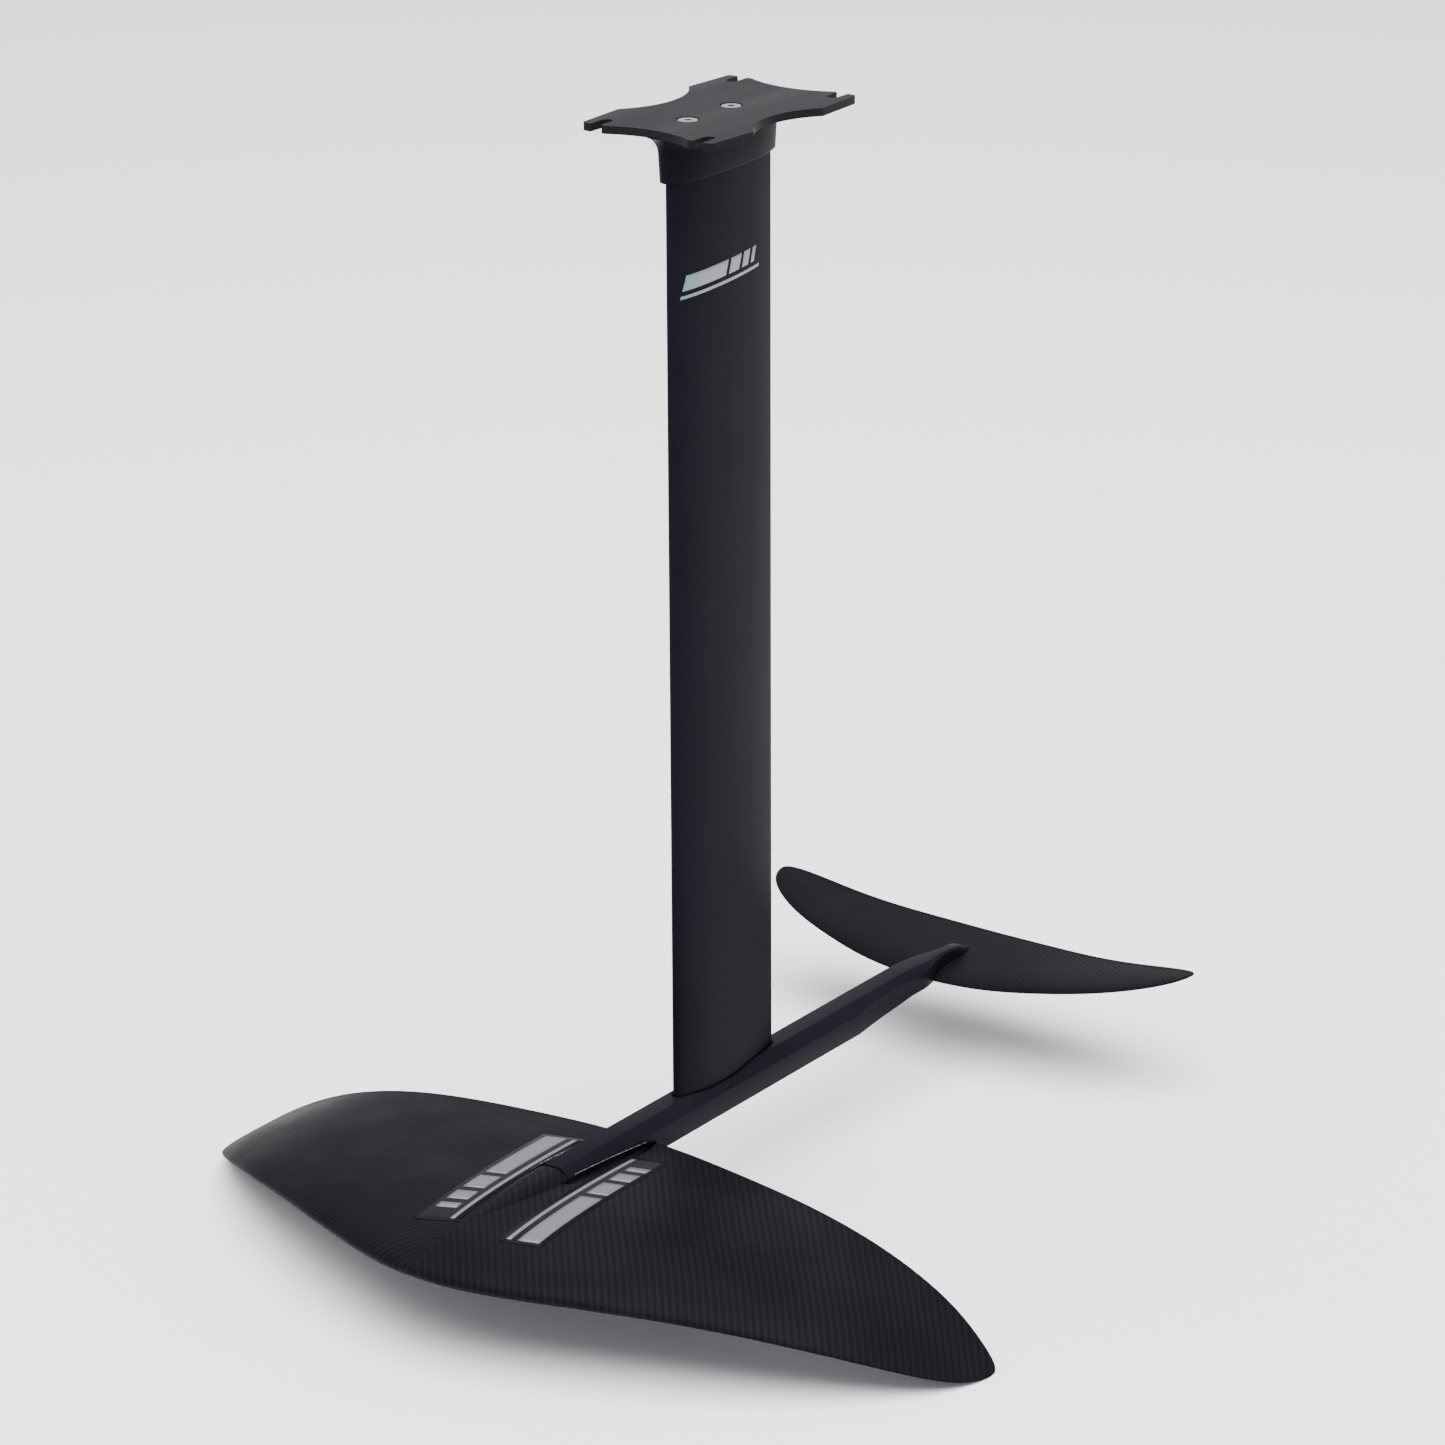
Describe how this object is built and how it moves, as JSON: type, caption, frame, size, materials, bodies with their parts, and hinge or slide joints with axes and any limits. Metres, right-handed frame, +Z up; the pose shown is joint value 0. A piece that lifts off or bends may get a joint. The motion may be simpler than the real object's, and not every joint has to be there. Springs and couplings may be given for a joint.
{
  "type": "hydrofoil",
  "caption": "Board hydrofoil: slotted top plate on a flared collar and an extruded mast, straight fuselage, swept drooping front wing and small upswept stabilizer.",
  "frame": {"origin": "centre of the four board-bolt slots, on the top face of the top plate, between its two countersunk screws", "axes": "+X forward, from the stabilizer towards the front wing's nose; +Y to port; +Z up, out of the plate towards the board"},
  "size_m": [0.772, 0.7044, 0.8475],
  "materials": {
    "anodised_plate": "black hard anodised, satin",
    "anodised_collar": "black hard anodised, satin",
    "anodised_mast": "black anodised extrusion, satin",
    "anodised_fuselage": "black anodised bar, satin",
    "carbon_wing": "woven carbon laminate under a satin lacquer",
    "carbon_stabilizer": "woven carbon laminate under a satin lacquer",
    "core_foam": "closed-cell foam",
    "laminate_block": "glass laminate, machined",
    "bare_aluminium": "as machined",
    "insert_steel": "threaded stainless bush",
    "stainless_screw": "stainless, bright",
    "seal_rubber": "soft black rubber",
    "print_silver": "silver-grey transfer",
    "seam_resin": "black resin fillet, glossy"
  },
  "bodies": {
    "root": {"top_plate": "anodised_plate", "mast_collar": "anodised_collar", "mast": "anodised_mast", "fuselage": "anodised_fuselage", "front_wing_upper_skin": "carbon_wing", "front_wing_lower_skin": "carbon_wing", "stabilizer": "carbon_stabilizer", "front_wing_core_port": "core_foam", "front_wing_core_starboard": "core_foam", "front_wing_bolt_block": "laminate_block", "mast_head_block": "bare_aluminium", "mast_foot_block": "bare_aluminium", "mast_foot_seal": "seal_rubber", "fuselage_insert_front": "insert_steel", "fuselage_insert_middle": "insert_steel", "fuselage_insert_rear": "insert_steel", "plate_screw_front": "stainless_screw", "plate_screw_rear": "stainless_screw", "mast_bolt_front": "stainless_screw", "mast_bolt_rear": "stainless_screw", "front_wing_bolt_front": "stainless_screw", "front_wing_bolt_middle": "stainless_screw", "front_wing_bolt_rear": "stainless_screw", "stabilizer_bolt_front": "stainless_screw", "stabilizer_bolt_rear": "stainless_screw"}
  },
  "joints": []
}
